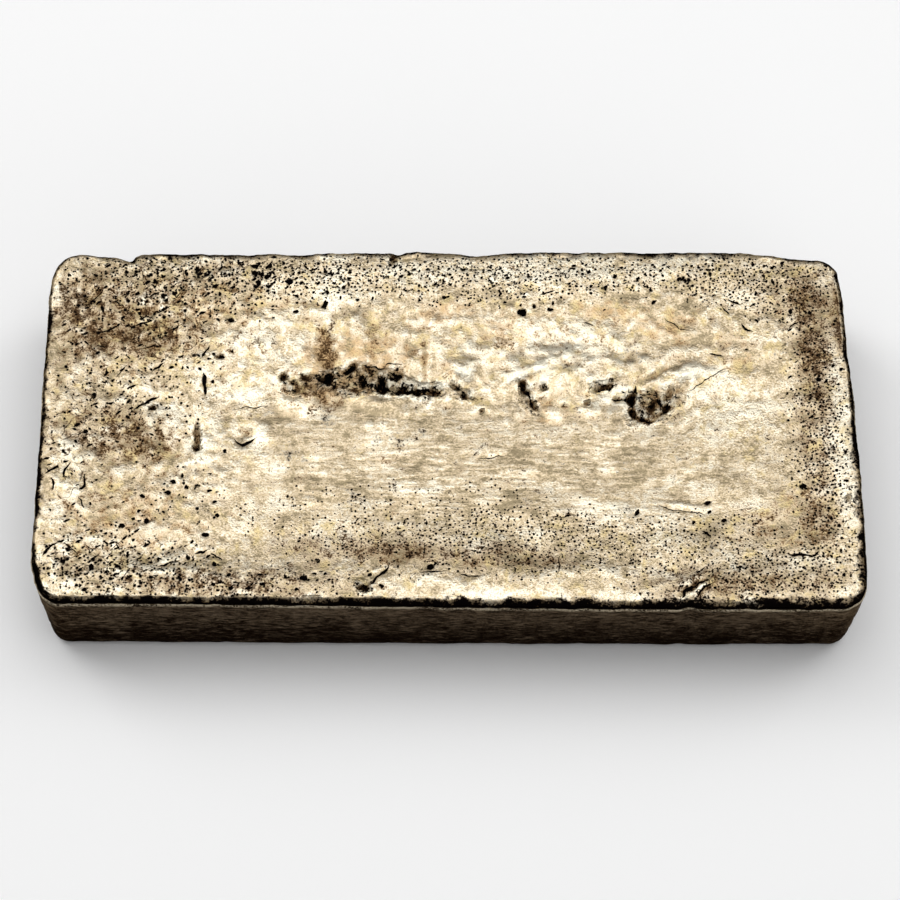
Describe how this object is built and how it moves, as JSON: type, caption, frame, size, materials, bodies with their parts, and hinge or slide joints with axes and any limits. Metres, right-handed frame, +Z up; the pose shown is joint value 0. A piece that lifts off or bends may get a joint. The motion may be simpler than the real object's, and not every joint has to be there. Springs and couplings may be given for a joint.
{
  "type": "cast silver bar",
  "caption": "Poured silver bar with drafted sides, rounded corners, flat base and an uneven, sunken pour face with lumps, creases and blow holes.",
  "frame": {"origin": "middle of the base, on the surface that the bar stands on", "axes": "+Z up through the pour face, +X along the bar"},
  "size_m": [0.1664, 0.0826, 0.0239],
  "materials": {
    "cast_silver": "as-cast silver, bright and rippled on the pour face, with brown tarnish and dark pits"
  },
  "bodies": {
    "root": {"silver_bar": "cast_silver"}
  },
  "joints": []
}
